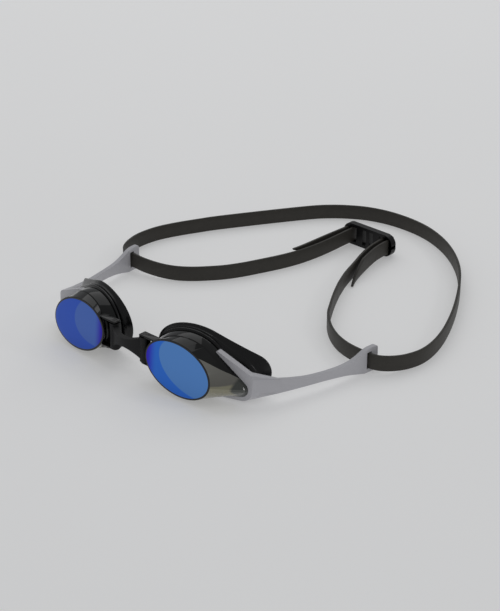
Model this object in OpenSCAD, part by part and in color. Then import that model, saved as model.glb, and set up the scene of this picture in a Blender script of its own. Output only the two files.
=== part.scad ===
// Racing swim goggles: two hard lens cups with soft gaskets, joined by a
// clip-on nose bridge, with forked side arms and one silicone strap that
// runs from a small buckle through both arms and round the back.
//
// +X is the wearer's left, -Y is the front, +Z is up. The goggles lie on
// the plane z = 0, with the origin under the middle of the whole loop.

/* [Overall] */
// Distance between the centres of the two windows
eye_spacing = 68; // [60:0.1:82]
// Distance from the windows back to the strap slots
temple_depth = 81; // [67:0.5:98]
// Distance between the strap slots of the two arms
temple_width = 165; // [137:0.5:198]

/* [Lens cup] */
// Half width of the oval window
window_a = 19.5; // [17:0.5:22]
// Half height of the oval window
window_b = 13; // [11:0.5:14.5]
// Angle that the window falls towards the temple, in its own plane
window_roll = 10; // [0:1:15]
// Angle that the window turns back towards the temple
window_wrap = 5.5; // [0:0.5:10]
// Angle that the top of the window leans back
window_tilt = 6; // [0:1:10]
// Depth from the middle of the window to the back rim of the cup
cup_depth = 12.5; // [11:0.5:15]
// Angle that the back rim turns towards the temple
rim_wrap = 13.5; // [10:0.5:16]
// Half height of the back rim
rim_b = 14.2; // [13:0.1:16]
// Thickness of the cup's wall
lens_wall = 1.8; // [1.2:0.1:2.4]
// Length of the straight band at the back rim, which the arm's fork grips
rim_band = 3.2; // [2:0.1:4]

/* [Gasket] */
// Depth of the gasket behind the cup's rim, on the line between its two ends
gasket_depth = 9.4; // [7:0.2:12]
// How far the sealing face bows in front of that line, to follow the cheek
face_bow = 3.2; // [1:0.2:5]
// Angle that the sealing face turns towards the temple
face_wrap = 18.5; // [14:0.5:20]
// Half height of the sealing face
face_b = 15.8; // [15:0.1:18]
// Width of the sealing face
seal_width = 4; // [3:0.5:5.5]
// How far the gasket stands proud of the cup's rim
gasket_lip = 1; // [0.6:0.1:1.5]

/* [Nose bridge] */
// Distance from the nose edge of the window to the clip pin
pin_reach = 4.2; // [4:0.1:6]
// Diameter of the pin on each cup
pin_d = 3.2; // [2.6:0.01:4]
// Height of the bridge at its two clips
clip_h = 13.2; // [10:0.1:14]
// Height of the bridge in the middle
waist_h = 4.6; // [3.6:0.1:8]
// How far the middle of the bridge arches forward, to clear the nose
bridge_bow = 4; // [2:0.1:6]
// How far the middle of the bridge stands above its clips
bridge_rise = 1.6; // [0:0.1:2.5]
// Thickness of the bridge
bridge_t = 2.8; // [2:0.1:3.6]
// Wall of the clip round the pin
clip_wall = 1.1; // [0.8:0.1:1.4]

/* [Side arm] */
// Thickness of the arm
arm_t = 2.4; // [1.8:0.1:3]
// Thickness of the fork at the temple end of the cup
fork_t = 2.2; // [1.6:0.1:3]
// Thickness of the fork at the ends of its two prongs
prong_t = 1.2; // [0.8:0.1:1.6]
// Width of the opening that the strap passes through
slot_w = 3; // [2.4:0.1:4]
// Width of the bar behind that opening
slot_bar = 4.2; // [3:0.1:5]

/* [Strap] */
// Width of the strap, which stands on its edge
strap_w = 8.2; // [6.8:0.01:11]
// Thickness of the strap
strap_t = 1.3; // [1:0.1:1.6]
// Gap left between the strap's edges and what it passes through
strap_gap = 0.3; // [0.2:0.05:0.5]

/* [Buckle] */
// Length of the buckle
buckle_l = 34; // [32:0.5:40]
// Thickness of the buckle
buckle_t = 3.6; // [2.4:0.1:4.2]
// Rim above and below the openings of the buckle
buckle_rim = 1.8; // [1.2:0.1:2.4]
// Width of the thin bar that each end of the strap goes round
wrap_bar = 2; // [1.4:0.1:2.4]

/* [Hidden] */
$fn = 64;

// The gaskets, the arm ends and the strap all rest on z = 0.
eye_x = eye_spacing / 2;
eye_y = -110;
eye_z = face_b - 0.6;

// Back rim of the cup: a wide oval with a small round tip at the temple.
rim_a = window_a - 0.6;
rim_shift = -2.5;
rim_tip_r = 4;
rim_tip = [window_a + 6.8, -6.5];
rim_tilt = 3;

// Chin of the cup: it fills out the lower wall on the temple side.
chin = [window_a - 5, 5.9 - rim_b];
chin_r = 4.5;
chin_l = 10;

// Sealing face: wider than the rim, with a larger round at the temple. It
// is part of an upright cylinder, so it bows forward between its two ends.
face_a = rim_a + 3.1;
face_shift = -4.9;
face_tip_r = 9;
face_tip = [window_a + 4.4, -3];
face_plate = 1.6;
face_trim = 0.4;
face_ends = [face_shift - face_a, face_tip[0] + face_tip_r];
face_mid = (face_ends[0] + face_ends[1]) / 2;
face_half = (face_ends[1] - face_ends[0]) / 2;
face_r = (face_half * face_half + face_bow * face_bow) / (2 * face_bow);

// Clip pins: they stand in front of the cup's nasal wall.
pin_x = eye_x - window_a - pin_reach;
pin_y = eye_y + 2.5;
pin_z = eye_z + 1.8;
pin_gap = 0.05;
clip_mouth = 0.7;
end_gap = 0.2;
lug_t = 1;
lug_r = pin_d / 2 + 0.6;
clip_r = pin_d / 2 + pin_gap + clip_wall;

// Strap slots of the arms.
slot_x = temple_width / 2;
slot_y = eye_y + temple_depth;
slot_rim = 2;
slot_h = strap_w + 2 * strap_gap;
arm_x0 = eye_x + 32;
arm_y0 = eye_y + 18.5;
arm_join = 0.18;
arm_top = slot_rim + slot_h + 2.1;
arm_bow = 2.6;
stalk_rise = 3;
fork_gap = 0.05;
upper_prong = [window_a - 5.9, 8.3];
lower_prong = [window_a - 7.5, -12.2];
temple_round = [rim_tip[0] + 3.6, -0.9];
temple_round_r = 2.8;

// Buckle: it stands on its edge across the two ends of the strap.
buckle_x = -5.4;
buckle_y = 78.8;
buckle_h = 2 * buckle_rim + slot_h;
ear = 4.6;
wrap_x = buckle_l / 2 - ear;
wrap_gap = 0.1;
wrap_r = wrap_bar / 2 + wrap_gap + strap_t / 2;
tail_slot = strap_t + 0.7;
ear_gap = 1.8;
cheek = 3.4;
rib = 2;
rib_window = 2.6;
ear_wall = ear - wrap_bar / 2 - tail_slot;
ear_overlap = 0.2;

// The plate's corners are as round as the wall beside the end slots allows.
corner_wall = 0.25;
corner_reach = ear_wall + buckle_rim - corner_wall;
corner_square = pow(ear_wall, 2) + pow(buckle_rim, 2) - pow(corner_wall, 2);
buckle_corner = corner_reach + sqrt(pow(corner_reach, 2) - corner_square);
tail_cut = 17;
tail_tip = 0.1;

// Strap route, as points of the middle of the lower edge. It starts at the
// tip of the right-hand tail. Only the free stretches are listed, as they
// lie when the slots are at [82.5, -29]; they follow the slots from there.
right_tail = [[-24, 36.5, 0.6], [-23, 42, 0.8], [-22.1, 51.5, 1.1], [-21.2, 60.5, 1.5],
              [-20.2, 68, 1.9]];
right_run = [[-16.3, 67, 1.9], [-17.2, 58.5, 1.2], [-18.6, 49, 0.6], [-20.7, 38.5, 0.2],
             [-23.6, 28.5, 0.05], [-26.3, 21, 0.05], [-29.1, 14, 0.05], [-31.8, 7.5, 0.05],
             [-34.8, 1.4, 0.05], [-38, -4, 0.05], [-42.4, -9.6, 0.05], [-47, -14.8, 0.05],
             [-52.2, -19.7, 0.2], [-57.9, -23.6, 0.5], [-64.6, -26.5, 1], [-72.5, -28.5, 1.7]];
back_run = [[-89.2, -27.3, 1.7], [-93.3, -23.2, 1], [-97, -17, 0.4], [-99.6, -9, 0.1],
            [-100, -1.4, 0.05], [-98.9, 7, 0.05], [-96.4, 14.8, 0.05], [-93.3, 22.1, 0.05],
            [-89.6, 29.8, 0.05], [-84.8, 39.3, 0.05], [-75.2, 55.3, 0.05], [-65.3, 71.3, 0.05],
            [-54.5, 87.8, 0.05], [-47.5, 95.8, 0.05], [-40.6, 101.5, 0.05],
            [-32.3, 106.6, 0.05], [-23.5, 109.8, 0.05], [-15, 111.4, 0.05],
            [-6, 111.8, 0.05], [3.5, 111, 0.05], [14.6, 108.3, 0.05], [27.4, 102.6, 0.05],
            [39, 95, 0.05], [49.8, 85.7, 0.05], [58.6, 76, 0.05], [66.4, 65.3, 0.05],
            [73.4, 54.5, 0.05], [80, 43.3, 0.05], [86.3, 31.2, 0.05], [92.4, 17.3, 0.05],
            [96.2, 4.6, 0.05], [97.2, -6, 0.1], [95.5, -15, 0.4], [92.6, -21.8, 1],
            [88.9, -26.7, 1.7]];
left_run = [[73.4, -28, 1.7], [66.3, -26, 1], [58.6, -22.8, 0.5], [50.9, -18.2, 0.2],
            [44, -12.6, 0.05], [38, -6.3, 0.05], [32.7, 1.6, 0.05], [26.2, 12, 0.05],
            [20.4, 22.4, 0.05], [14.9, 34.4, 0.05], [10.8, 46.6, 0.4], [7.8, 56, 1],
            [6, 65, 1.8]];
left_tail = [[9.2, 66.6, 1.9], [10.4, 60, 1.5], [12.4, 52, 1.1], [14.9, 44, 0.8],
             [16.9, 39, 0.6], [18.8, 35.4, 0.5]];
route_steps = 4;
slot_shift = [slot_x - 82.5, slot_y + 29];

// Moves the free stretches with the slots: fully beside a slot, and not at
// all beside the buckle and at the back.
function part_way(v, from, to) = max(0, min(1.3, (v - from) / (to - from)));
function follow(p) =
    [for (q = p)
        [q[0] + sign(q[0]) * slot_shift[0] * part_way(abs(q[0]), 20, 82.5),
         q[1] + slot_shift[1] * min(1, part_way(q[1], 40, -29)), q[2]]];

// Catmull-Rom curve through a list of points.
function bend(a, b, c, d, t) =
    0.5 * (2 * b + (c - a) * t + (2 * a - 5 * b + 4 * c - d) * t * t
           + (3 * b - a - 3 * c + d) * t * t * t);
function smooth(p, steps) =
    [for (i = [0 : len(p) - 2], k = [0 : steps - 1])
        bend(p[max(i - 1, 0)], p[i], p[i + 1], p[min(i + 2, len(p) - 1)], k / steps),
     p[len(p) - 1]];

// Places what it holds in the plane of the window, the rim or the face.
// In each, X runs to the temple, Z up and +Y to the back.
module window_frame() {
    translate([eye_x, eye_y, eye_z])
        rotate([0, 0, window_wrap]) rotate([-window_tilt, 0, 0]) rotate([0, window_roll, 0])
            children();
}
module rim_frame() {
    translate([eye_x, eye_y + cup_depth, eye_z])
        rotate([0, 0, rim_wrap]) rotate([-rim_tilt, 0, 0]) children();
}
module face_frame() {
    translate([eye_x, eye_y + cup_depth + gasket_depth, face_b])
        rotate([0, 0, face_wrap]) children();
}
// A flat plate that goes back from y0 by its thickness.
module plate(y0, thickness) {
    translate([0, y0 + thickness, 0]) rotate([90, 0, 0]) linear_extrude(thickness) children();
}

module window_outline(inset) {
    scale([window_a - inset, window_b - inset]) circle(1);
}
module rim_outline(inset) {
    hull() {
        translate([rim_shift, 0.3]) scale([rim_a - inset, rim_b - inset]) circle(1);
        translate(rim_tip) circle(rim_tip_r - inset, $fn = 32);
        translate(chin) circle(chin_r - inset, $fn = 32);
    }
}
module face_outline(inset) {
    hull() {
        translate([face_shift, 0]) scale([face_a - inset, face_b - inset]) circle(1);
        translate(face_tip) circle(face_tip_r - inset, $fn = 32);
    }
}

// One cup, for the wearer's left eye.
module lens_cup() {
    color([0.25, 0.38, 0.62]) difference() {
        union() {
            hull() {
                window_frame() plate(0, 1) window_outline(0);
                rim_frame() plate(-rim_band, rim_band) rim_outline(0);
                rim_frame() plate(-chin_l, chin_l) translate(chin) circle(chin_r, $fn = 32);
            }
            clip_post();
        }
        hull() {
            window_frame() plate(lens_wall, 1) window_outline(lens_wall);
            rim_frame() plate(-1, 2) rim_outline(lens_wall);
            rim_frame() plate(-chin_l + lens_wall, chin_l) translate(chin)
                circle(chin_r - lens_wall, $fn = 32);
        }
    }
}
// The upright pin and the two lugs that carry it.
module clip_post() {
    post_h = clip_h + 2 * end_gap + 2 * lug_t;
    translate([pin_x, pin_y, pin_z - post_h / 2]) {
        cylinder(h = post_h, d = pin_d);
        for (z = [0, post_h - lug_t]) {
            translate([0, 0, z]) cylinder(h = lug_t, r = lug_r);
            translate([0, -lug_r, z]) cube([eye_x - window_a * 0.8 - pin_x, 2 * lug_r, lug_t]);
        }
    }
}
module left_lens() lens_cup();
module right_lens() mirror([1, 0, 0]) lens_cup();

module gasket() {
    color([0.07, 0.07, 0.08]) difference() {
        hull() {
            rim_frame() plate(0, 1) rim_outline(-gasket_lip);
            face_frame() plate(-face_plate, face_plate) face_outline(0);
        }
        hull() {
            rim_frame() plate(-1, 1.5) rim_outline(lens_wall);
            face_frame() plate(-face_plate, face_plate + 1) face_outline(seal_width);
        }
        face_frame() translate([face_mid, face_r - face_bow - face_trim, -2 * face_b])
            cylinder(h = 4 * face_b, r = face_r, $fn = 180);
    }
}
module left_gasket() gasket();
module right_gasket() mirror([1, 0, 0]) gasket();

// The bridge: a waisted web, arched forward over the nose, between two open
// clips that turn on the pins.
module nose_bridge() {
    color([0.08, 0.08, 0.09]) translate([0, pin_y, pin_z]) difference() {
        union() {
            intersection() {
                rotate([90, 0, 0]) linear_extrude(6 * bridge_bow, center = true) web_outline();
                linear_extrude(clip_h, center = true) web_plan();
            }
            for (side = [-1, 1])
                translate([side * pin_x, 0, -clip_h / 2]) cylinder(h = clip_h, r = clip_r);
        }
        for (side = [-1, 1]) {
            translate([side * pin_x, 0, -clip_h]) cylinder(h = 2 * clip_h, r = pin_d / 2 + pin_gap);
            translate([side * (pin_x + clip_r), 0, 0])
                cube([2 * clip_r, pin_d * clip_mouth, 2 * clip_h], center = true);
        }
    }
}
// Front view: two wide arcs cut the waist out of a plate.
module web_outline() {
    difference() {
        square([2 * pin_x, clip_h], center = true);
        for (side = [-1, 1]) {
            dip = (clip_h - waist_h) / 2 - side * bridge_rise;
            arc_r = (pin_x * pin_x + dip * dip) / (2 * dip);
            translate([0, side * (clip_h / 2 - dip + arc_r)]) circle(arc_r, $fn = 96);
        }
    }
}
// Plan: an arc through both pins.
module web_plan() {
    bow_r = (pin_x * pin_x + bridge_bow * bridge_bow) / (2 * bridge_bow);
    difference() {
        translate([0, bow_r - bridge_bow]) circle(bow_r + bridge_t / 2, $fn = 96);
        translate([0, bow_r - bridge_bow]) circle(bow_r - bridge_t / 2, $fn = 96);
        translate([-2 * bow_r, 0]) square([4 * bow_r, 4 * bow_r]);
    }
}

// One arm, for the wearer's left: a fork round the cup's rim, a bowed
// stalk that grows out of it and a flared end with the strap slot.
module arm() {
    color([0.64, 0.63, 0.65]) difference() {
        union() {
            rim_frame() plate(-rim_band, rim_band) fork_outline();
            hull() {
                rim_frame() plate(-rim_band, rim_band) fork_root();
                intersection() {
                    stalk();
                    translate([0, stalk_y(arm_join), 0]) cube([2 * slot_x, 1, 3 * arm_top]);
                }
            }
            difference() {
                stalk();
                translate([0, eye_y, -1]) cube([2 * slot_x, stalk_y(arm_join) - eye_y, 3 * arm_top]);
            }
        }
        rim_frame() plate(-2 * rim_band, 4 * rim_band) rim_outline(-fork_gap);
        hull() {
            rim_frame() plate(0, 1 + fork_gap) rim_outline(-gasket_lip - fork_gap);
            face_frame() plate(-face_plate, face_plate) face_outline(-fork_gap);
        }
        translate([0, slot_y - slot_w / 2, slot_rim]) cube([2 * slot_x, slot_w, slot_h]);
    }
}
// The fork's root covers the temple end of the rim; a prong runs along the
// rim above and below it.
module fork_root() {
    translate(rim_tip) circle(rim_tip_r + fork_t, $fn = 32);
    translate(temple_round) circle(temple_round_r, $fn = 32);
}
module fork_outline() {
    for (prong = [upper_prong, lower_prong])
        hull() {
            fork_root();
            translate(prong) circle(prong_t, $fn = 24);
        }
}
function stalk_x(t) = arm_x0 + (slot_x - arm_x0) * t + arm_bow * 4 * t * (1 - t);
function stalk_y(t) = arm_y0 + (slot_y - arm_y0) * t;
module stalk() {
    intersection() {
        linear_extrude(arm_top + stalk_rise) stalk_plan();
        translate([0, slot_y, 0]) stalk_side();
    }
}
module stalk_plan() {
    end = 1 + (slot_w / 2 + slot_bar) / (slot_y - arm_y0);
    ts = [for (k = [0 : 16]) k / 16 * end];
    polygon(concat([for (t = ts) [stalk_x(t) + arm_t / 2, stalk_y(t)]],
                   [for (i = [16 : -1 : 0]) [stalk_x(ts[i]) - arm_t / 2, stalk_y(ts[i])]]));
}
// Side view of the stalk, measured forward from the slot.
module stalk_side() {
    front = arm_y0 - slot_y;
    back = slot_w / 2 + slot_bar;
    upper = smooth([[front, 14.8], [front + 6, 13.7], [front * 0.8, 12], [front * 0.68, 10.4],
                    [front * 0.55, 9.2], [front * 0.36, 8.6], [-14, 8.9], [-8, 10.2],
                    [-3, 12.2], [0, arm_top]], 4);
    lower = smooth([[-3, 0], [-8, 1.4], [-16, 3.2], [front * 0.45, 4.4],
                    [front * 0.7, 4.8], [front * 0.85, 4.9], [front, 4.8]], 4);
    rotate([90, 0, 90]) linear_extrude(2 * slot_x)
        polygon(concat(upper, [[back - 1.5, arm_top], [back - 0.4, arm_top - 0.4],
                               [back, arm_top - 1.5], [back, 0]], lower));
}
module left_arm() arm();
module right_arm() mirror([1, 0, 0]) arm();

// The stretch of strap that goes through a slot of the buckle, round the
// thin bar and back, from the tail to the run.
function wrap(side) =
    let (c = buckle_x + side * wrap_x,
         z = buckle_rim + strap_gap,
         front = buckle_y - buckle_t / 2,
         back = buckle_y + buckle_t / 2 + wrap_gap)
    [[c + side * wrap_r, front - 4, z], [c + side * wrap_r, front, z],
     for (a = [0 : 30 : 180]) [c + side * wrap_r * cos(a), back + wrap_r * sin(a), z],
     [c - side * wrap_r, front, z], [c - side * wrap_r, front - 4, z]];
// The stretch through an arm's slot, from the inside out.
function slot_pass(side) =
    [for (out = [-3, 0, 3]) [side * (slot_x + out), slot_y, slot_rim + strap_gap]];
function reversed(p) = [for (i = [len(p) - 1 : -1 : 0]) p[i]];

route = concat(smooth(concat(follow(right_tail), [wrap(-1)[0]]), route_steps),
               [for (i = [1 : 9]) wrap(-1)[i]],
               smooth(concat([wrap(-1)[10]], follow(right_run), slot_pass(-1),
                             follow(back_run), reversed(slot_pass(1)), follow(left_run),
                             [wrap(1)[10]]), route_steps),
               [for (i = [9 : -1 : 1]) wrap(1)[i]],
               smooth(concat([wrap(1)[0]], follow(left_tail)), route_steps));

// Both ends of the strap are cut to a point: the right-hand one along its
// lower edge and the left-hand one along its upper edge.
function cut(p, tip) = min(1, tail_tip + (1 - tail_tip) * norm(p - tip) / tail_cut);
module strap() {
    n = len(route);
    right_n = route_steps * len(right_tail);
    left_n = n - 1 - route_steps * len(left_tail);
    rings = [for (i = [0 : n - 1])
        let (ahead = route[min(i + 1, n - 1)] - route[max(i - 1, 0)],
             flat = norm([ahead[0], ahead[1]]),
             side = [-ahead[1], ahead[0], 0] / flat * strap_t / 2,
             low = [0, 0, i < right_n ? strap_w * (1 - cut(route[i], route[0])) : 0],
             up = [0, 0, i > left_n ? strap_w * cut(route[i], route[n - 1]) : strap_w])
        [route[i] - side + low, route[i] + side + low, route[i] + side + up, route[i] - side + up]];
    color([0.21, 0.21, 0.2])
        polyhedron(points = [for (ring = rings, p = ring) p],
                   faces = concat([[0, 1, 2, 3]],
                                  [for (i = [0 : n - 2], k = [0 : 3])
                                      [4 * i + k, 4 * i + 4 + k,
                                       4 * i + 4 + (k + 1) % 4, 4 * i + (k + 1) % 4]],
                                  [[4 * n - 1, 4 * n - 2, 4 * n - 3, 4 * n - 4]]));
}

// The buckle: a flat plate with a slot either side of each thin bar, two
// windows beside a middle rib, and ends that are open at mid height.
module strap_buckle() {
    color([0.06, 0.06, 0.07]) translate([buckle_x, buckle_y + buckle_t / 2, 0])
        rotate([90, 0, 0]) linear_extrude(buckle_t) difference() {
            round_plate(buckle_l, buckle_h, buckle_corner);
            for (side = [-1, 1]) {
                buckle_opening(side * (wrap_x + wrap_bar / 2), side * tail_slot);
                buckle_opening(side * (wrap_x - wrap_bar / 2), -side * cheek);
                buckle_opening(side * rib / 2, side * rib_window);
                translate([side * buckle_l / 2, buckle_h / 2])
                    square([2 * (ear_wall + ear_overlap), ear_gap], center = true);
            }
        }
}
module round_plate(l, h, r) {
    for (x = [-1, 1], y = [0, 1])
        translate([x * (l / 2 - r), y ? h - r : r]) circle(r);
    translate([-l / 2 + r, 0]) square([l - 2 * r, h]);
    translate([-l / 2, r]) square([l, h - 2 * r]);
}
module buckle_opening(x, w) {
    translate([min(x, x + w), buckle_rim]) square([abs(w), slot_h]);
}

left_lens();
right_lens();
left_gasket();
right_gasket();
nose_bridge();
left_arm();
right_arm();
strap();
strap_buckle();
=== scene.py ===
import math

import bmesh
import bpy
from mathutils import Matrix, Vector


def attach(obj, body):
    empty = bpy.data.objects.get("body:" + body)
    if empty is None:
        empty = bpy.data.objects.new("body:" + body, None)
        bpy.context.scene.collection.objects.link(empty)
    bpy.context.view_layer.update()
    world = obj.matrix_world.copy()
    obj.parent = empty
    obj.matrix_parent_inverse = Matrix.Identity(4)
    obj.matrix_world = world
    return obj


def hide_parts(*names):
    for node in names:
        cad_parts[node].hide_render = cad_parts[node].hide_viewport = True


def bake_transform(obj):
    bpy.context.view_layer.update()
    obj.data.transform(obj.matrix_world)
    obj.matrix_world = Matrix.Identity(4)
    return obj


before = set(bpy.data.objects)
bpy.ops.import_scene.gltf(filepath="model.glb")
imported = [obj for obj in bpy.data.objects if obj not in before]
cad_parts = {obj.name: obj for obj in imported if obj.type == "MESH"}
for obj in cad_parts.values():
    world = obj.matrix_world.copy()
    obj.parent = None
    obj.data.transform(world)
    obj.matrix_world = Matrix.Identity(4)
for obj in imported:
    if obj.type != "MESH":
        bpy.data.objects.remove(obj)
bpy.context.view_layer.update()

# Camera: a long lens, a little above the goggles and to the wearer's left.
camera_data = bpy.data.cameras.new("camera")
camera_data.lens = 106.06
camera_data.sensor_width = 36
camera = bpy.data.objects.new("camera", camera_data)
camera.location = (0.560, -0.624, 0.4232)
camera.rotation_euler = (math.radians(63), 0, math.radians(43))
bpy.context.scene.collection.objects.link(camera)
bpy.context.scene.camera = camera


# Floor: a plain sheet of matt pale card, seen out of any shadow but the
# goggles' own.
def from_hex(code):
    """sRGB hex colour to linear RGBA."""
    parts = [int(code[i:i + 2], 16) / 255 for i in (1, 3, 5)]
    return [p / 12.92 if p <= 0.04045 else ((p + 0.055) / 1.055) ** 2.4 for p in parts] + [1]


def add_node(tree, kind, values=(), links=(), **settings):
    """Adds a shader node with its settings, its sockets' values and its links."""
    node = tree.nodes.new(kind)
    for name, setting in settings.items():
        setattr(node, name, setting)
    for name, value in dict(values).items():
        node.inputs[name].default_value = value
    for name, source in dict(links).items():
        tree.links.new(source, node.inputs[name])
    return node


def new_material(name, **values):
    """A material with one Principled shader: values go on the shader's own sockets."""
    material = bpy.data.materials.new(name)
    material.use_nodes = True
    tree = material.node_tree
    shader = tree.nodes["Principled BSDF"]
    for socket, value in values.items():
        shader.inputs[socket.replace("_", " ").title().replace("Ior", "IOR")].default_value = value
    return material, tree, shader


def place(name, bm, materials):
    """Makes an object from a finished bmesh, at the origin."""
    mesh = bpy.data.meshes.new(name)
    bm.to_mesh(mesh)
    bm.free()
    for material in materials:
        mesh.materials.append(material)
    piece = bpy.data.objects.new(name, mesh)
    bpy.context.scene.collection.objects.link(piece)
    return piece


card, tree, shader = new_material("matt_card", roughness=0.9, specular_ior_level=0.2,
                                  emission_color=from_hex("#FFFFFF"), emission_strength=0.27)
where = add_node(tree, "ShaderNodeTexCoord")
fibre = add_node(tree, "ShaderNodeTexNoise", {"Scale": 3.0, "Detail": 2.0},
                 {"Vector": where.outputs["Object"]})
tone = add_node(tree, "ShaderNodeValToRGB", links={"Fac": fibre.outputs["Fac"]})
tone.color_ramp.elements[0].color = from_hex("#DCDCDC")
tone.color_ramp.elements[1].color = from_hex("#E0E0E0")
tree.links.new(tone.outputs["Color"], shader.inputs["Base Color"])
bm = bmesh.new()
bmesh.ops.create_grid(bm, x_segments=4, y_segments=4, size=6)
floor = place("floor", bm, [card])

# Light: a pale room, a wide soft box overhead, one behind to the right of
# the wearer, and a smaller one on the left side.
world = bpy.data.worlds.new("room")
bpy.context.scene.world = world
world.use_nodes = True
world.node_tree.nodes["Background"].inputs["Color"].default_value = from_hex("#F2F4F7")
world.node_tree.nodes["Background"].inputs["Strength"].default_value = 0.34
bpy.context.scene.view_settings.view_transform = "Standard"
for name, size, energy, spot in (
        ("overhead_box", 1.8, 6.2, (-0.9, 0.5, 1.5)),
        ("back_box", 0.5, 0.9, (-0.3, 1.2, 0.8)),
        ("side_box", 0.16, 0.5, (0.95, 0.45, 0.7))):
    light = bpy.data.lights.new(name, "AREA")
    light.shape = "SQUARE"
    light.size = size
    light.energy = energy
    lamp = bpy.data.objects.new(name, light)
    lamp.location = spot
    lamp.rotation_euler = (Vector(spot) - Vector((0, -0.03, 0))).to_track_quat("Z", "Y").to_euler()
    bpy.context.scene.collection.objects.link(lamp)

# Lens cups: each is one polycarbonate moulding, with a flat oval window, a
# faceted surround that runs back to the rim, and two lugs with an upright
# pin for the bridge. The window has a blue mirror coat, edged with black.
MM = 0.001
AROUND = 144
EYE = Vector((34, -110, 15.2))
WINDOW = (19.5, 13.0)
WINDOW_ROLL = math.radians(10)
CUP_DEPTH = 12.5
CUP_WALL = 1.8


def turned(origin, wrap, tilt=0.0, roll=0.0):
    """Frame of the window, the rim or the sealing face: X to the temple, Y to the back."""
    return (Matrix.Translation(origin) @ Matrix.Rotation(math.radians(wrap), 4, "Z")
            @ Matrix.Rotation(math.radians(-tilt), 4, "X") @ Matrix.Rotation(roll, 4, "Y"))


window_frame = turned(EYE, 5.5, 6, WINDOW_ROLL)
rim_frame = turned(EYE + Vector((0, CUP_DEPTH, 0)), 13.5, 3)
# Each outline is the taut loop round a few ovals: middle across, middle up,
# half width and half height.
RIM = ((-2.5, 0.3, 18.9, 14.2), (26.3, -6.5, 4, 4), (14.5, -8.3, 4.5, 4.5))
SHOULDER = ((-2.5, 0.3, 17.9, 13.3), (28.0, -5.8, 1.2, 1.2), (14.7, -8.4, 4.0, 4.0))


def reach(outline, angle, grow=0.0):
    """Distance from the middle to the outline at an angle."""
    best = 1000.0
    for k in range(180):
        turn = angle + math.radians(k - 90) * 0.98
        across, up = math.cos(turn), math.sin(turn)
        support = max(x * across + z * up + math.hypot((a + grow) * across, (b + grow) * up)
                      for x, z, a, b in outline)
        best = min(best, support / math.cos(turn - angle))
    return best


def angles():
    return [2 * math.pi * k / AROUND for k in range(AROUND)]


def window_ring(share, grow, y):
    """Points round the window, at a share of its size."""
    points = []
    for angle in angles():
        turn = angle + WINDOW_ROLL
        a, b = WINDOW[0] + grow, WINDOW[1] + grow
        r = share / math.hypot(math.cos(turn) / a, math.sin(turn) / b)
        points.append(window_frame @ Vector((r * math.cos(turn), y, r * math.sin(turn))))
    return points


def flat_ring(place_frame, outline, grow, y):
    """Points round an outline that lies flat in its frame."""
    points = []
    for angle in angles():
        r = reach(outline, angle, grow)
        points.append(place_frame @ Vector((r * math.cos(angle), y, r * math.sin(angle))))
    return points


def loop_edges(bm, points):
    """A closed loop of edges through some points, given in millimetres."""
    verts = [bm.verts.new(p * MM) for p in points]
    return [bm.edges.new((v, verts[(k + 1) % len(verts)])) for k, v in enumerate(verts)]


def loft(rings, finishes, ends=None):
    """Bridges each ring to the next. finishes gives each band's material number, and ends
    those of the two caps; with no ends the last ring joins the first."""
    bm = bmesh.new()
    loops = [loop_edges(bm, ring) for ring in rings]
    pairs = list(zip(loops, loops[1:])) + ([] if ends else [(loops[-1], loops[0])])
    for (one, other), finish in zip(pairs, finishes):
        for face in bmesh.ops.bridge_loops(bm, edges=one + other)["faces"]:
            face.material_index = finish
    if ends:
        for loop, finish in zip((loops[0], loops[-1]), ends):
            for face in bmesh.ops.contextual_create(bm, geom=loop)["faces"]:
                face.material_index = finish
    bmesh.ops.recalc_face_normals(bm, faces=bm.faces)
    return bm


def smooth(piece, crease):
    """Smooth shading, with a crisp edge where faces meet at more than an angle."""
    piece.data.shade_smooth()
    piece.data.set_sharp_from_angle(angle=math.radians(crease))
    return piece


def other_side(bm):
    """The same shape for the wearer's right."""
    twin = bm.copy()
    bmesh.ops.scale(twin, vec=(-1, 1, 1), verts=twin.verts)
    bmesh.ops.reverse_faces(twin, faces=twin.faces)
    return twin


# Blue mirror coat on moulded polycarbonate: more violet at the nose, a painted violet
# reflection tint on the right cup, and a painted paler oval for light from inside the cup.
# The oval is measured from the middle of the window, across and up.
mirror_coat, tree, shader = new_material("mirror_coated_polycarbonate", metallic=1.0,
                                         roughness=0.05)


def maths(operation, first, second=0.0, third=0.0):
    """A Math node. Each term is a number or another node's output."""
    terms = {0: first, 1: second, 2: third}
    return add_node(tree, "ShaderNodeMath",
                    {k: t for k, t in terms.items() if isinstance(t, float)},
                    {k: t for k, t in terms.items() if not isinstance(t, float)},
                    operation=operation).outputs[0]


OVAL_SHIFT, OVAL_SHIFT_BY_SIDE = 12.5 * MM, -4 * MM
OVAL_Z = 19 * MM
ROLL_SLOPE = 0.176
where = add_node(tree, "ShaderNodeTexCoord")
axes = add_node(tree, "ShaderNodeSeparateXYZ", links={"Vector": where.outputs["Object"]})
drift = add_node(tree, "ShaderNodeTexNoise", {"Scale": 40.0, "Detail": 1.0},
                 {"Vector": where.outputs["Object"]})
out = maths("ABSOLUTE", axes.outputs["X"])
cup_side = maths("SIGN", axes.outputs["X"])
across = maths("MULTIPLY_ADD", cup_side, -EYE.x * MM, axes.outputs["X"])
across = maths("SUBTRACT", across, maths("MULTIPLY_ADD", cup_side, OVAL_SHIFT_BY_SIDE, OVAL_SHIFT))
across = maths("DIVIDE", across, WINDOW[0] * MM)
up = maths("MULTIPLY_ADD", maths("SUBTRACT", out, EYE.x * MM), ROLL_SLOPE, axes.outputs["Z"])
up = maths("DIVIDE", maths("SUBTRACT", up, OVAL_Z), WINDOW[1] * MM)
oval = maths("ADD", maths("MULTIPLY", across, across), maths("MULTIPLY", up, up))
# Painted light: a paler oval on the coat, for light coming from inside the cup.
painted_light_oval = add_node(tree, "ShaderNodeMapRange", {"From Min": 1.04, "From Max": 0.96},
               {"Value": oval}, interpolation_type="SMOOTHSTEP")
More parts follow.
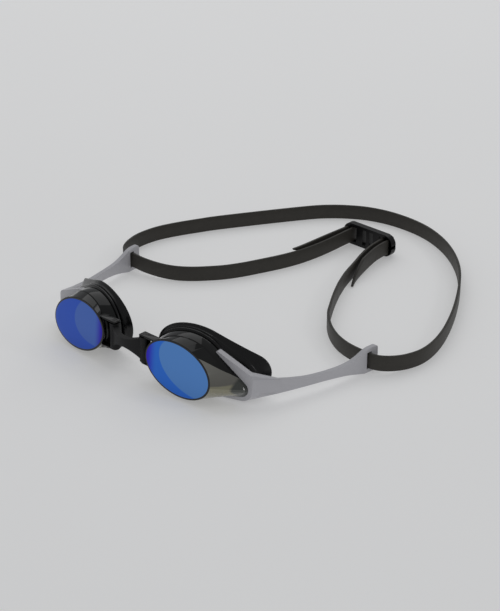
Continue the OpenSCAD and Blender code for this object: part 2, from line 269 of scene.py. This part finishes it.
nose = add_node(tree, "ShaderNodeMapRange", {"From Min": 0.0215, "From Max": 0.0155},
                {"Value": out}, interpolation_type="SMOOTHSTEP")
blue = add_node(tree, "ShaderNodeValToRGB", links={"Fac": drift.outputs["Fac"]})
blue.color_ramp.elements[0].color = from_hex("#3874DA")
blue.color_ramp.elements[1].color = from_hex("#3B74D4")
painted_light_mix = add_node(tree, "ShaderNodeMix", links={"Factor": painted_light_oval.outputs[0]}, data_type="RGBA")
tree.links.new(blue.outputs["Color"], painted_light_mix.inputs["A"])
painted_light_mix.inputs["B"].default_value = from_hex("#5C8DD0")
violet = add_node(tree, "ShaderNodeMix", links={"Factor": nose.outputs[0]}, data_type="RGBA")
tree.links.new(painted_light_mix.outputs["Result"], violet.inputs["A"])
violet.inputs["B"].default_value = from_hex("#3A2FC0")
# Painted reflection tint: the right cup's coat is made more violet, as the coat looks at this
# angle of view.
right = add_node(tree, "ShaderNodeMapRange",
                 {"From Min": 0.002, "From Max": -0.002, "To Max": 0.45},
                 {"Value": axes.outputs["X"]})
painted_view_violet = add_node(tree, "ShaderNodeMix", {"B": from_hex("#3A2E9E")},
                       {"Factor": right.outputs[0]}, data_type="RGBA")
tree.links.new(violet.outputs["Result"], painted_view_violet.inputs["A"])
tree.links.new(painted_view_violet.outputs["Result"], shader.inputs["Base Color"])

# Smoked polycarbonate, with painted light: its colour goes by height, olive below the
# middle where light comes up through the wall and glossy grey above it; darker at the temple tip.
smoke, tree, shader = new_material("smoked_polycarbonate", roughness=0.07, ior=1.585,
                                   coat_weight=0.5, coat_roughness=0.02)
where = add_node(tree, "ShaderNodeTexCoord")
axes = add_node(tree, "ShaderNodeSeparateXYZ", links={"Vector": where.outputs["Object"]})
flow = add_node(tree, "ShaderNodeTexNoise", {"Scale": 120.0, "Detail": 2.0},
                {"Vector": where.outputs["Object"]})
# Painted light: the colour goes by height, a painted olive glow below the middle and grey above
# it.
height = add_node(tree, "ShaderNodeMath", {1: 0.0016},
                  {0: flow.outputs["Fac"], 2: axes.outputs["Z"]}, operation="MULTIPLY_ADD")
level = add_node(tree, "ShaderNodeMapRange", {"From Min": 0.003, "From Max": 0.023},
                 {"Value": height.outputs[0]})
tint = add_node(tree, "ShaderNodeValToRGB", links={"Fac": level.outputs[0]})
ramp = tint.color_ramp
ramp.elements[0].color = from_hex("#57564B")
ramp.elements[1].color = from_hex("#7E7D75")
for place_at, code in ((0.2, "#84806A"), (0.5, "#98947B"), (0.53, "#6A6860")):
    ramp.elements.new(place_at).color = from_hex(code)
out = add_node(tree, "ShaderNodeMath", links={0: axes.outputs["X"]}, operation="ABSOLUTE")
# Darker past 60 mm out from the middle, at the temple tip.
temple_tip = add_node(tree, "ShaderNodeMapRange", {"From Min": 0.0595, "From Max": 0.0605},
                 {"Value": out.outputs[0]})
shade = add_node(tree, "ShaderNodeMix", links={"Factor": temple_tip.outputs[0]}, data_type="RGBA")
shade.inputs["B"].default_value = from_hex("#3A3E38")
tree.links.new(tint.outputs["Color"], shade.inputs["A"])
tree.links.new(shade.outputs["Result"], shader.inputs["Base Color"])

# The same polycarbonate where the black gasket backs it: almost black, partly the
# gasket's own black and partly painted shade for the closed inside of the cup.
dark_smoke, tree, shader = new_material("smoked_polycarbonate_over_black_and_painted_shade", roughness=0.08,
                                        specular_ior_level=0.35)
where = add_node(tree, "ShaderNodeTexCoord")
flow = add_node(tree, "ShaderNodeTexNoise", {"Scale": 120.0, "Detail": 2.0},
                {"Vector": where.outputs["Object"]})
tint = add_node(tree, "ShaderNodeValToRGB", links={"Fac": flow.outputs["Fac"]})
tint.color_ramp.elements[0].color = from_hex("#0A0A0A")
tint.color_ramp.elements[1].color = from_hex("#171817")
tree.links.new(tint.outputs["Color"], shader.inputs["Base Color"])

# Black edging of the window: a fine ring in the groove round it, painted black for its shade.
edging, tree, shader = new_material("window_groove_painted_shade", roughness=0.25)
where = add_node(tree, "ShaderNodeTexCoord")
grain = add_node(tree, "ShaderNodeTexNoise", {"Scale": 900.0},
                 {"Vector": where.outputs["Object"]})
tint = add_node(tree, "ShaderNodeValToRGB", links={"Fac": grain.outputs["Fac"]})
tint.color_ramp.elements[0].color = from_hex("#0B0B0C")
tint.color_ramp.elements[1].color = from_hex("#151516")
tree.links.new(tint.outputs["Color"], shader.inputs["Base Color"])

# Uncoated polycarbonate: the clear inner face of the window.
clear, tree, shader = new_material("clear_polycarbonate", roughness=0.05, alpha=0.06)
where = add_node(tree, "ShaderNodeTexCoord")
haze = add_node(tree, "ShaderNodeTexNoise", {"Scale": 300.0}, {"Vector": where.outputs["Object"]})
tint = add_node(tree, "ShaderNodeValToRGB", links={"Fac": haze.outputs["Fac"]})
tint.color_ramp.elements[0].color = from_hex("#9FB4D8")
tint.color_ramp.elements[1].color = from_hex("#B9C8E2")
tree.links.new(tint.outputs["Color"], shader.inputs["Base Color"])

MIRROR, SMOKE, EDGING, CLEAR, DARK = 0, 1, 2, 3, 4
CROWN = 0.3
outside = [window_ring(share, -0.6, -CROWN * (1 - share * share))
           for share in (0.04, 0.35, 0.7, 0.9, 1)]
outside += [window_ring(1, -0.35, 0.06), window_ring(1, 0.1, 0.1), window_ring(1, 0.35, 0.3)]
outside += [flat_ring(rim_frame, SHOULDER, 0, -6.3), flat_ring(rim_frame, SHOULDER, 0.35, -5.8),
            flat_ring(rim_frame, RIM, -0.05, -3.3), flat_ring(rim_frame, RIM, -0.05, -0.25),
            flat_ring(rim_frame, RIM, -0.25, -0.05)]
inside = [flat_ring(rim_frame, RIM, -CUP_WALL, -0.05), flat_ring(rim_frame, RIM, -CUP_WALL, -3.3),
          flat_ring(rim_frame, SHOULDER, -CUP_WALL, -5.6), window_ring(1, -CUP_WALL, CUP_WALL),
          window_ring(0.05, -CUP_WALL, CUP_WALL)]
# The inside of the cup wall is almost black too: painted shade for the closed cup.
bands = [MIRROR] * 4 + [EDGING] * 3 + [SMOKE] * 5 + [DARK] * 4 + [CLEAR]
cup = loft(outside + inside, bands, (MIRROR, CLEAR))
# A crease runs from the top of the window to the temple end: the wall above it and at the
# nose has the black gasket close behind, and is made almost black, partly as painted shade.
CREASE, CREASE_OUT = Vector((42.5, -109.6, 25.4)) * MM, Vector((0.354, -0.791, -0.496))
outer = [face for face in cup.faces if face.material_index == SMOKE]
around = {edge for face in outer for edge in face.edges}
bmesh.ops.bisect_plane(cup, geom=outer + list(around), dist=1e-7, plane_co=CREASE,
                       plane_no=CREASE_OUT)
for face in cup.faces:
    if face.material_index == SMOKE and (face.calc_center_median() - CREASE).dot(CREASE_OUT) < 0:
        face.material_index = DARK
for side, bm in (("left", cup), ("right", other_side(cup))):
    finishes = [mirror_coat, smoke, edging, clear, dark_smoke]
    piece = smooth(place(side + "_lens_cup", bm, finishes), 22)
    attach(piece, side + "_eye")
    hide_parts(side + "_lens")

# Clip posts: the lugs and the pin at the nose side of each cup, moulded with
# it in the same smoked polycarbonate.
PIN = Vector((10.3, -107.5, 17))
PIN_R = 1.6
POST_H = 15.6
LUG_T, LUG_L, LUG_W = 1.0, 12, 4.4
LUG_INWARD = 4
LUG_END_R, LUG_EDGE_R = 2.1, 0.45
bm = bmesh.new()
bmesh.ops.create_cone(bm, segments=32, radius1=PIN_R * MM, radius2=PIN_R * MM, depth=POST_H * MM,
                      cap_ends=True, matrix=Matrix.Translation(PIN * MM))
for up in (-1, 1):
    lug = bmesh.new()
    middle = PIN + Vector((LUG_INWARD, 0, up * (POST_H - LUG_T) / 2))
    bmesh.ops.create_cube(lug, size=1, matrix=Matrix.Translation(middle * MM)
                          @ Matrix.Diagonal((LUG_L * MM, LUG_W * MM, LUG_T * MM, 1)))
    ends = [e for e in lug.edges if abs(e.verts[0].co.z - e.verts[1].co.z) > MM
            and e.verts[0].co.x < PIN.x * MM]
    bmesh.ops.bevel(lug, geom=ends, offset=LUG_END_R * MM, segments=8, affect="EDGES", profile=0.5,
                    material=-1)
    sharp = [e for e in lug.edges if e.calc_face_angle(0) > 1]
    bmesh.ops.bevel(lug, geom=sharp, offset=LUG_EDGE_R * MM, segments=3, affect="EDGES",
                    profile=0.5, material=-1)
    part = bpy.data.meshes.new("lug")
    lug.to_mesh(part)
    bm.from_mesh(part)
    lug.free()
for side, shape in (("left", bm), ("right", other_side(bm))):
    piece = smooth(place(side + "_clip_post", shape, [dark_smoke]), 30)
    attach(piece, side + "_eye")
    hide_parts(side + "_lens")

# Gaskets: soft silicone, moulded on to the back rim of each cup. A thin lip
# grips the rim, a groove and a rib let it give, and the skirt opens into the
# smooth sealing face, which bows to follow the cheek.
FACE = ((-4.9, 0, 22.0, 15.8), (23.9, -3, 9, 9))
FACE_MID, FACE_R, FACE_BOW = 3.0, 142.2, 3.6
SEAL = 4.0
face_frame = turned(EYE + Vector((0, CUP_DEPTH + 9.4, 0.6)), 18.5)


def gasket_ring(share, grow, back=0.0):
    """Points a share of the way from the cup's rim to the sealing face."""
    points = []
    for angle in angles():
        r = reach(RIM, angle, grow)
        start = rim_frame @ Vector((r * math.cos(angle), back, r * math.sin(angle)))
        r = reach(FACE, angle, grow)
        across = r * math.cos(angle)
        y = FACE_R - FACE_BOW - math.sqrt(FACE_R ** 2 - (across - FACE_MID) ** 2)
        end = face_frame @ Vector((across, y, r * math.sin(angle)))
        points.append(start.lerp(end, share))
    return points


rubber, tree, shader = new_material("moulded_silicone_rubber", roughness=0.3,
                                    specular_ior_level=0.4)
where = add_node(tree, "ShaderNodeTexCoord")
dust = add_node(tree, "ShaderNodeTexNoise", {"Scale": 180.0, "Detail": 4.0},
                {"Vector": where.outputs["Object"]})
tint = add_node(tree, "ShaderNodeValToRGB", links={"Fac": dust.outputs["Fac"]})
tint.color_ramp.elements[0].color = from_hex("#060606")
tint.color_ramp.elements[1].color = from_hex("#0C0C0D")
tree.links.new(tint.outputs["Color"], shader.inputs["Base Color"])
gloss = add_node(tree, "ShaderNodeMapRange", {"To Min": 0.2, "To Max": 0.34},
                 {"Value": dust.outputs["Fac"]})
tree.links.new(gloss.outputs[0], shader.inputs["Roughness"])
bump = add_node(tree, "ShaderNodeBump", {"Strength": 0.12, "Distance": 0.0002},
                {"Height": dust.outputs["Fac"]})
tree.links.new(bump.outputs["Normal"], shader.inputs["Normal"])

skirt = [gasket_ring(0, -1.75, 0.03), gasket_ring(0, 0.8, 0.03), gasket_ring(0, 1.0, 0.25),
         gasket_ring(0, 1.0, 0.95), gasket_ring(0, 0.75, 1.2)]
skirt += [gasket_ring(share, grow) for share, grow in (
    (0.17, -0.55), (0.24, -0.6), (0.30, -0.3), (0.33, 0.25), (0.38, 0.45), (0.44, 0.3),
    (0.47, -0.15), (0.52, -0.45), (0.60, -0.5), (0.70, -0.35), (0.80, -0.1), (0.87, 0.1),
    (0.93, 0.15), (0.975, 0.0), (0.997, -0.4), (1.0, -0.9), (0.985, -SEAL + 0.8),
    (0.95, -SEAL + 0.2), (0.88, -SEAL + 0.1), (0.5, -2.9))]
gasket = loft(skirt, [0] * len(skirt))
for side, bm in (("left", gasket), ("right", other_side(gasket))):
    piece = smooth(place(side + "_soft_gasket", bm, [rubber]), 50)
    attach(piece, side + "_eye")
    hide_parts(side + "_gasket")


# Nose bridge: one soft rubber moulding that clips over the pins of the two
# cups, dull black, with rounded edges.
def rounded_copy(node, name, width, material):
    """The CAD solid with its edges rounded as a moulding's are."""
    bm = bmesh.new()
    bm.from_mesh(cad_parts[node].data)
    bmesh.ops.remove_doubles(bm, verts=bm.verts, dist=0.02 * MM)
    bmesh.ops.dissolve_limit(bm, angle_limit=math.radians(1.5), verts=bm.verts, edges=bm.edges)
    for face in bm.faces:
        face.material_index = 0
    piece = place(name, bm, [material])
    rounding = piece.modifiers.new("rounding", "BEVEL")
    rounding.width = width * MM
    rounding.segments = 2
    rounding.limit_method = "ANGLE"
    rounding.angle_limit = math.radians(35)
    smooth(piece, 40)
    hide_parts(node)
    return piece


matt_rubber, tree, shader = new_material("moulded_thermoplastic_rubber", roughness=0.55,
                                          specular_ior_level=0.3)
where = add_node(tree, "ShaderNodeTexCoord")
grain = add_node(tree, "ShaderNodeTexNoise", {"Scale": 900.0, "Detail": 3.0},
                 {"Vector": where.outputs["Object"]})
tint = add_node(tree, "ShaderNodeValToRGB", links={"Fac": grain.outputs["Fac"]})
tint.color_ramp.elements[0].color = from_hex("#0D0D0E")
tint.color_ramp.elements[1].color = from_hex("#151516")
tree.links.new(tint.outputs["Color"], shader.inputs["Base Color"])
bump = add_node(tree, "ShaderNodeBump", {"Strength": 0.25, "Distance": 0.0001},
                {"Height": grain.outputs["Fac"]})
tree.links.new(bump.outputs["Normal"], shader.inputs["Normal"])
piece = rounded_copy("nose_bridge", "clip_on_nose_bridge", 0.35, matt_rubber)
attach(piece, "bridge")

# Side arms: injection-moulded nylon in silver grey, satin, each with a fork
# that grips the cup's rim and a flared end with the strap slot.
satin_nylon, tree, shader = new_material("moulded_satin_nylon", roughness=0.36)
where = add_node(tree, "ShaderNodeTexCoord")
grain = add_node(tree, "ShaderNodeTexNoise", {"Scale": 1500.0, "Detail": 2.0},
                 {"Vector": where.outputs["Object"]})
cloud = add_node(tree, "ShaderNodeTexNoise", {"Scale": 35.0, "Detail": 3.0},
                 {"Vector": where.outputs["Object"]})
tint = add_node(tree, "ShaderNodeValToRGB", links={"Fac": cloud.outputs["Fac"]})
tint.color_ramp.elements[0].color = from_hex("#C0BFC4")
tint.color_ramp.elements[1].color = from_hex("#C9C8CC")
tree.links.new(tint.outputs["Color"], shader.inputs["Base Color"])
gloss = add_node(tree, "ShaderNodeMapRange", {"To Min": 0.3, "To Max": 0.44},
                 {"Value": cloud.outputs["Fac"]})
tree.links.new(gloss.outputs[0], shader.inputs["Roughness"])
bump = add_node(tree, "ShaderNodeBump", {"Strength": 0.15, "Distance": 0.00005},
                {"Height": grain.outputs["Fac"]})
tree.links.new(bump.outputs["Normal"], shader.inputs["Normal"])
for side in ("left", "right"):
    piece = rounded_copy(side + "_arm", side + "_side_arm", 0.4, satin_nylon)
    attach(piece, side + "_eye")

# Strap buckle: a small black acetal plate on its edge, with a thin bar at
# each end that the strap goes round, and open ears.
acetal, tree, shader = new_material("moulded_black_acetal", roughness=0.42, specular_ior_level=0.3)
where = add_node(tree, "ShaderNodeTexCoord")
grain = add_node(tree, "ShaderNodeTexNoise", {"Scale": 700.0, "Detail": 2.0},
                 {"Vector": where.outputs["Object"]})
tint = add_node(tree, "ShaderNodeValToRGB", links={"Fac": grain.outputs["Fac"]})
tint.color_ramp.elements[0].color = from_hex("#070708")
tint.color_ramp.elements[1].color = from_hex("#0E0E10")
tree.links.new(tint.outputs["Color"], shader.inputs["Base Color"])
piece = rounded_copy("strap_buckle", "rear_strap_buckle", 0.4, acetal)
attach(piece, "buckle")

# Strap: one long band of charcoal silicone, 8.2 mm wide and 1.3 mm thick,
# that stands on its edge. Each stretch is listed by the middle of its lower
# edge, in millimetres, from the tip of the right-hand tail.
STRAP_W, STRAP_T, STRAP_EDGE = 8.2, 1.3, 0.25
TAIL_CUT = 17
BUCKLE = Vector((-5.4, 78.8))
WRAP_X, WRAP_R, WRAP_BACK = 12.4, 1.75, 1.9
right_tail = [(-24, 36.5, 0.6), (-23, 42, 0.8), (-22.1, 51.5, 1.1), (-21.2, 60.5, 1.5),
              (-20.2, 68, 1.9)]
right_run = [(-16.3, 67, 1.9), (-17.2, 58.5, 1.2), (-18.6, 49, 0.6), (-20.7, 38.5, 0.2),
             (-23.6, 28.5, 0.05), (-26.3, 21, 0.05)]
right_side = [(-26.3, 21, 0.05), (-29.1, 14, 0.05), (-31.8, 7.5, 0.05), (-34.8, 1.4, 0.05),
              (-38, -4, 0.05), (-42.4, -9.6, 0.05), (-47, -14.8, 0.05), (-52.2, -19.7, 0.2),
              (-57.9, -23.6, 0.5), (-64.6, -26.5, 1), (-72.5, -28.5, 1.7), (-79.5, -29, 2.3),
              (-82.5, -29, 2.3), (-85.5, -29, 2.3), (-89.2, -27.3, 1.7), (-93.3, -23.2, 1),
              (-97, -17, 0.4), (-99.6, -9, 0.1), (-100, -1.4, 0.05), (-98.9, 7, 0.05),
              (-96.4, 14.8, 0.05), (-93.3, 22.1, 0.05), (-89.6, 29.8, 0.05),
              (-84.8, 39.3, 0.05), (-75.2, 55.3, 0.05), (-65.3, 71.3, 0.05),
              (-54.5, 87.8, 0.05), (-47.5, 95.8, 0.05), (-40.6, 101.5, 0.05),
              (-32.3, 106.6, 0.05), (-23.5, 109.8, 0.05), (-15, 111.4, 0.05), (-6, 111.8, 0.05)]
left_side = [(-6, 111.8, 0.05), (3.5, 111, 0.05), (14.6, 108.3, 0.05), (27.4, 102.6, 0.05),
             (39, 95, 0.05), (49.8, 85.7, 0.05), (58.6, 76, 0.05), (66.4, 65.3, 0.05),
             (73.4, 54.5, 0.05), (80, 43.3, 0.05), (86.3, 31.2, 0.05), (92.4, 17.3, 0.05),
             (96.2, 4.6, 0.05), (97.2, -6, 0.1), (95.5, -15, 0.4), (92.6, -21.8, 1),
             (88.9, -26.7, 1.7), (85.5, -29, 2.3), (82.5, -29, 2.3), (79.5, -29, 2.3),
             (73.4, -28, 1.7), (66.3, -26, 1), (58.6, -22.8, 0.5), (50.9, -18.2, 0.2),
             (44, -12.6, 0.05), (38, -6.3, 0.05), (32.7, 1.6, 0.05), (26.2, 12, 0.05),
             (20.4, 22.4, 0.05)]
left_run = [(20.4, 22.4, 0.05), (14.9, 34.4, 0.05), (10.8, 46.6, 0.4), (7.8, 56, 1),
            (6, 65, 1.8)]
left_tail = [(9.2, 66.6, 1.9), (10.4, 60, 1.5), (12.4, 52, 1.1), (14.9, 44, 0.8),
             (16.9, 39, 0.6), (18.8, 35.4, 0.5)]


def wrap(side):
    """Through one slot of the buckle, round its thin bar and back, from tail to run."""
    middle = BUCKLE.x + side * WRAP_X
    z = 2.1
    front = BUCKLE.y - 1.8
    turns = [math.radians(a) for a in range(0, 181, 30)]
    return ([(middle + side * WRAP_R, front - 4, z), (middle + side * WRAP_R, front, z)]
            + [(middle + side * WRAP_R * math.cos(a),
                BUCKLE.y + WRAP_BACK + WRAP_R * math.sin(a), z)
               for a in turns]
            + [(middle - side * WRAP_R, front, z), (middle - side * WRAP_R, front - 4, z)])


def curve_through(stops, steps=6):
    """Smooth curve through a list of points."""
    stops = [Vector(p) for p in stops]
    line = []
    for i in range(len(stops) - 1):
        a, b, c, d = (stops[min(max(i + k, 0), len(stops) - 1)] for k in (-1, 0, 1, 2))
        for k in range(steps):
            t = k / steps
            line.append(0.5 * (2 * b + (c - a) * t + (2 * a - 5 * b + 4 * c - d) * t * t
                               + (3 * b - a - 3 * c + d) * t ** 3))
    return line + [stops[-1]]


def section(low, high):
    """The strap's section between two heights, with rounded edges: across and up."""
    points = []
    for u, v, start in ((1, 1, 0), (-1, 1, 90), (-1, -1, 180), (1, -1, 270)):
        for turn in (0, 45, 90):
            a = math.radians(start + turn)
            level = high - STRAP_EDGE if v > 0 else low + STRAP_EDGE
            points.append((u * (STRAP_T / 2 - STRAP_EDGE) + STRAP_EDGE * math.cos(a),
                           level + STRAP_EDGE * math.sin(a)))
    return points


def band(route, low_tip=None, high_tip=None):
    """The strap's section, extruded along a route. Near low_tip its lower edge is cut away to
    a point, and near high_tip its upper edge."""
    bm = bmesh.new()
    edges = None
    for i, here in enumerate(route):
        way = route[min(i + 1, len(route) - 1)] - route[max(i - 1, 0)]
        out = Vector((-way.y, way.x, 0)).normalized()
        low = high = 1.0
        if low_tip and i < len(route) / 2:
            low = min(1, 0.1 + 0.9 * (here - Vector(low_tip)).length / TAIL_CUT)
        if high_tip and i > len(route) / 2:
            high = min(1, 0.1 + 0.9 * (here - Vector(high_tip)).length / TAIL_CUT)
        spots = [(here + out * u + Vector((0, 0, v))) * MM
                 for u, v in section(STRAP_W * (1 - low), STRAP_W * high)]
        if edges is None:
            verts = [bm.verts.new(p) for p in spots]
            edges = [bm.edges.new((v, verts[(k + 1) % len(verts)])) for k, v in enumerate(verts)]
            bm.faces.new(verts)
            continue
        made = bmesh.ops.extrude_edge_only(bm, edges=edges)["geom"]
        edges = [g for g in made if isinstance(g, bmesh.types.BMEdge)]
        verts = [g for g in made if isinstance(g, bmesh.types.BMVert)]
        for vert, spot in zip(verts, spots):
            vert.co = spot
    bmesh.ops.contextual_create(bm, geom=edges)
    bmesh.ops.recalc_face_normals(bm, faces=bm.faces)
    return bm


silicone, tree, shader = new_material("moulded_charcoal_silicone", roughness=0.5,
                                      specular_ior_level=0.3)
where = add_node(tree, "ShaderNodeTexCoord")
mottle = add_node(tree, "ShaderNodeTexNoise", {"Scale": 260.0, "Detail": 5.0, "Roughness": 0.65},
                  {"Vector": where.outputs["Object"]})
tint = add_node(tree, "ShaderNodeValToRGB", links={"Fac": mottle.outputs["Fac"]})
tint.color_ramp.elements[0].color = from_hex("#35332F")
tint.color_ramp.elements[1].color = from_hex("#44413C")
tree.links.new(tint.outputs["Color"], shader.inputs["Base Color"])
gloss = add_node(tree, "ShaderNodeMapRange", {"To Min": 0.42, "To Max": 0.6},
                 {"Value": mottle.outputs["Fac"]})
tree.links.new(gloss.outputs[0], shader.inputs["Roughness"])
bump = add_node(tree, "ShaderNodeBump", {"Strength": 0.2, "Distance": 0.0001},
                {"Height": mottle.outputs["Fac"]})
tree.links.new(bump.outputs["Normal"], shader.inputs["Normal"])

right_wrap, left_wrap = wrap(-1), wrap(1)
right_end = (curve_through(right_tail + [right_wrap[0]]) + [Vector(p) for p in right_wrap[1:10]]
             + curve_through([right_wrap[10]] + right_run))
left_end = (curve_through(left_run + [left_wrap[10]])
            + [Vector(p) for p in reversed(left_wrap[1:10])]
            + curve_through([left_wrap[0]] + left_tail))
for name, route, bodies, start, end in (
        ("strap_right_side", curve_through(right_side), ("right_eye", "bridge"), -0.022, 0.018),
        ("strap_left_side", curve_through(left_side), ("left_eye", "bridge"), -0.022, 0.018),
        ("strap_right_end", right_end, ("bridge", "buckle"), 0.022, 0.075),
        ("strap_left_end", left_end, ("bridge", "buckle"), 0.022, 0.075)):
    low_tip = right_tail[0] if route is right_end else None
    high_tip = left_tail[-1] if route is left_end else None
    piece = smooth(place(name, band(route, low_tip, high_tip), [silicone]), 60)
    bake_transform(piece)
    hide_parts("strap")
